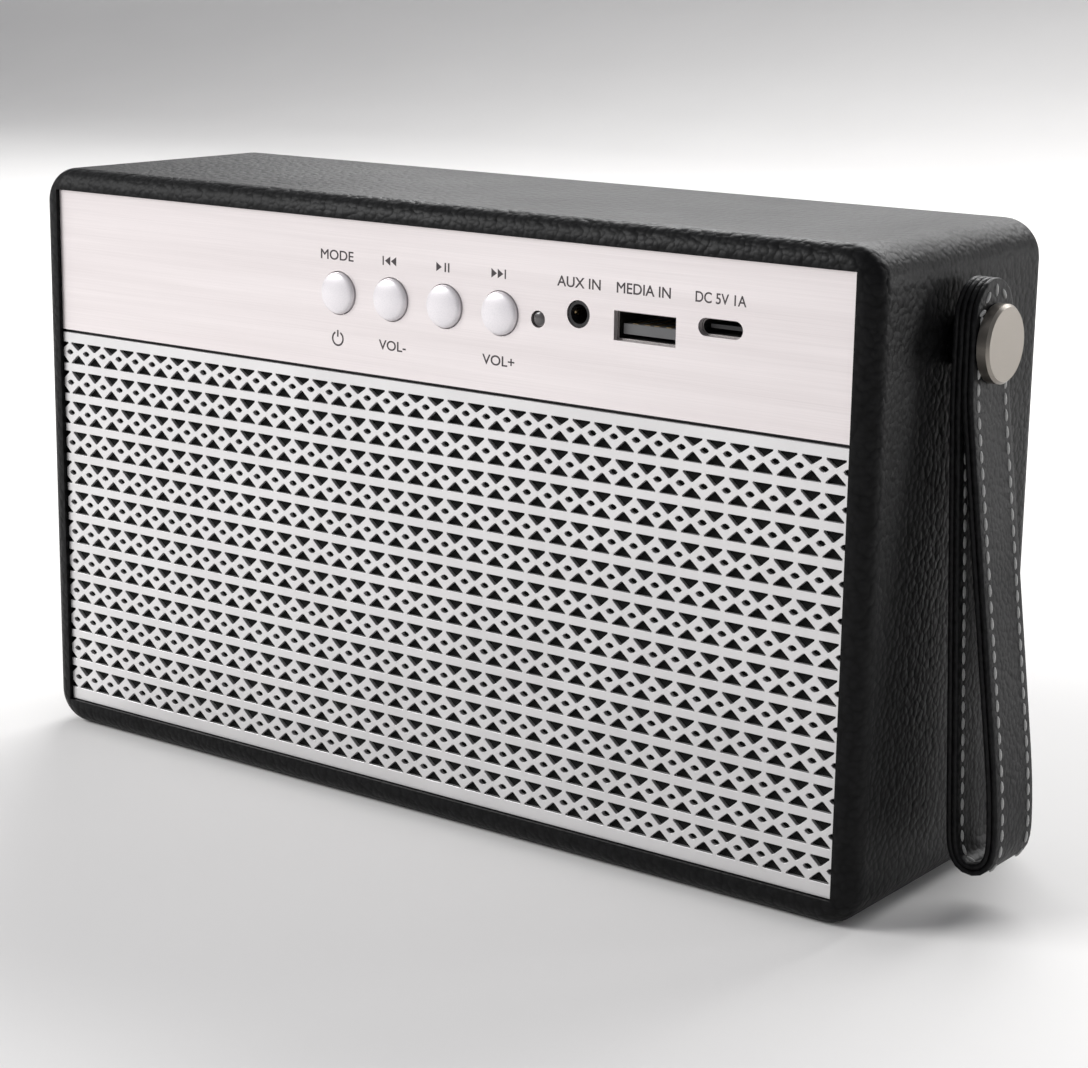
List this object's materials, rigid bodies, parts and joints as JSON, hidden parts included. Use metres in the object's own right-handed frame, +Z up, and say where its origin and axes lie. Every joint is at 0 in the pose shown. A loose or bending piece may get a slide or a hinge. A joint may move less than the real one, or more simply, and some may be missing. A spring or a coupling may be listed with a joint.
{
  "type": "portable radio speaker",
  "caption": "Flat battery radio speaker wrapped in leather, with a brushed control panel, a punched metal grille and a stitched wrist strap on a side stud.",
  "frame": {"origin": "on the surface the radio stands on, under the middle of the case", "axes": "+X to the strap's side, -Y out of the grille, +Z up"},
  "size_m": [0.214, 0.0615, 0.119],
  "materials": {
    "leather": "fine pebble grain, satin",
    "strap_leather": "fine pebble grain, stitched in grey thread",
    "case_plastic": "fine texture",
    "foam": "closed-cell foam",
    "screw_steel": "blackened",
    "panel_aluminium": "brushed lengthwise",
    "grille_metal": "satin silver-white",
    "acoustic_cloth": "open weave",
    "smoked_plastic": "smoky, see-through",
    "lamp_plastic": "clear",
    "jack_plastic": "moulded",
    "socket_steel": "tin plated",
    "tongue_plastic": "moulded",
    "board_laminate": "solder mask",
    "chip_plastic": "moulded",
    "capacitor_can": "sleeved",
    "header_plastic": "moulded",
    "cell_can": "shrink sleeve",
    "lead_rubber": "soft",
    "button_pearl": "pearl silver",
    "switch_plastic": "moulded",
    "basket_paint": "black",
    "motor_steel": "zinc plated and ferrite",
    "cone_paper": "pressed",
    "surround_rubber": "soft",
    "coil_copper": "enamelled copper",
    "spider_cloth": "resin-treated",
    "stud_nickel": "satin nickel"
  },
  "bodies": {
    "case": {"leather_cover": "leather", "cabinet": "case_plastic", "front_baffle": "case_plastic", "rear_cover": "case_plastic", "rear_gasket": "foam", "rear_screws": "screw_steel", "control_panel": "panel_aluminium", "speaker_grille": "grille_metal", "grille_cloth": "acoustic_cloth", "button_guide": "case_plastic", "status_lens": "smoked_plastic", "status_led": "lamp_plastic", "aux_jack": "jack_plastic", "media_socket": "socket_steel", "media_tongue": "tongue_plastic", "charging_socket": "socket_steel", "charging_tongue": "tongue_plastic", "main_board": "board_laminate", "board_screws": "screw_steel", "radio_module": "socket_steel", "amplifier": "chip_plastic", "capacitors": "capacitor_can", "board_headers": "header_plastic", "battery_cell": "cell_can", "battery_cradle": "case_plastic", "battery_lead": "lead_rubber", "driver_screws": "screw_steel", "strap_stud": "stud_nickel", "strap_screw": "screw_steel", "switch_mode": "switch_plastic", "switch_previous": "switch_plastic", "switch_play": "switch_plastic", "switch_next": "switch_plastic", "basket_left": "basket_paint", "motor_left": "motor_steel", "surround_left": "surround_rubber", "spider_left": "spider_cloth", "lead_left": "lead_rubber", "basket_right": "basket_paint", "motor_right": "motor_steel", "surround_right": "surround_rubber", "spider_right": "spider_cloth", "lead_right": "lead_rubber"},
    "key_mode": {"button_mode": "button_pearl", "plunger_mode": "switch_plastic"},
    "key_previous": {"button_previous": "button_pearl", "plunger_previous": "switch_plastic"},
    "key_play": {"button_play": "button_pearl", "plunger_play": "switch_plastic"},
    "key_next": {"button_next": "button_pearl", "plunger_next": "switch_plastic"},
    "cone_left": {"cone_left": "cone_paper", "dust_cap_left": "cone_paper", "voice_coil_left": "coil_copper"},
    "cone_right": {"cone_right": "cone_paper", "dust_cap_right": "cone_paper", "voice_coil_right": "coil_copper"},
    "strap_pivot": {"strap_ends": "strap_leather"},
    "strap_loop": {"hand_strap": "strap_leather"}
  },
  "joints": [
    {"name": "press_mode", "type": "slide", "parent": "case", "child": "key_mode", "axis": [0, 1, 0], "range_m": [0, 0.0006], "stiffness_N_per_m": 500},
    {"name": "press_previous", "type": "slide", "parent": "case", "child": "key_previous", "axis": [0, 1, 0], "range_m": [0, 0.0006], "stiffness_N_per_m": 500},
    {"name": "press_play", "type": "slide", "parent": "case", "child": "key_play", "axis": [0, 1, 0], "range_m": [0, 0.0006], "stiffness_N_per_m": 500},
    {"name": "press_next", "type": "slide", "parent": "case", "child": "key_next", "axis": [0, 1, 0], "range_m": [0, 0.0006], "stiffness_N_per_m": 500},
    {"name": "stroke_left", "type": "slide", "parent": "case", "child": "cone_left", "axis": [0, -1, 0], "range_m": [-0.0008, 0.0008], "stiffness_N_per_m": 1200, "deforming": ["surround_left", "spider_left"]},
    {"name": "stroke_right", "type": "slide", "parent": "case", "child": "cone_right", "axis": [0, -1, 0], "range_m": [-0.0008, 0.0008], "stiffness_N_per_m": 1200, "deforming": ["surround_right", "spider_right"]},
    {"name": "strap_turn", "type": "hinge", "parent": "case", "child": "strap_pivot", "pos_m": [0.1, -0.002, 0.1008], "axis": [1, 0, 0], "continuous": true},
    {"name": "strap_lift", "type": "hinge", "parent": "strap_pivot", "child": "strap_loop", "pos_m": [0.1056, -0.002, 0.0925], "axis": [0, -1, 0], "range_deg": [0, 75]}
  ]
}
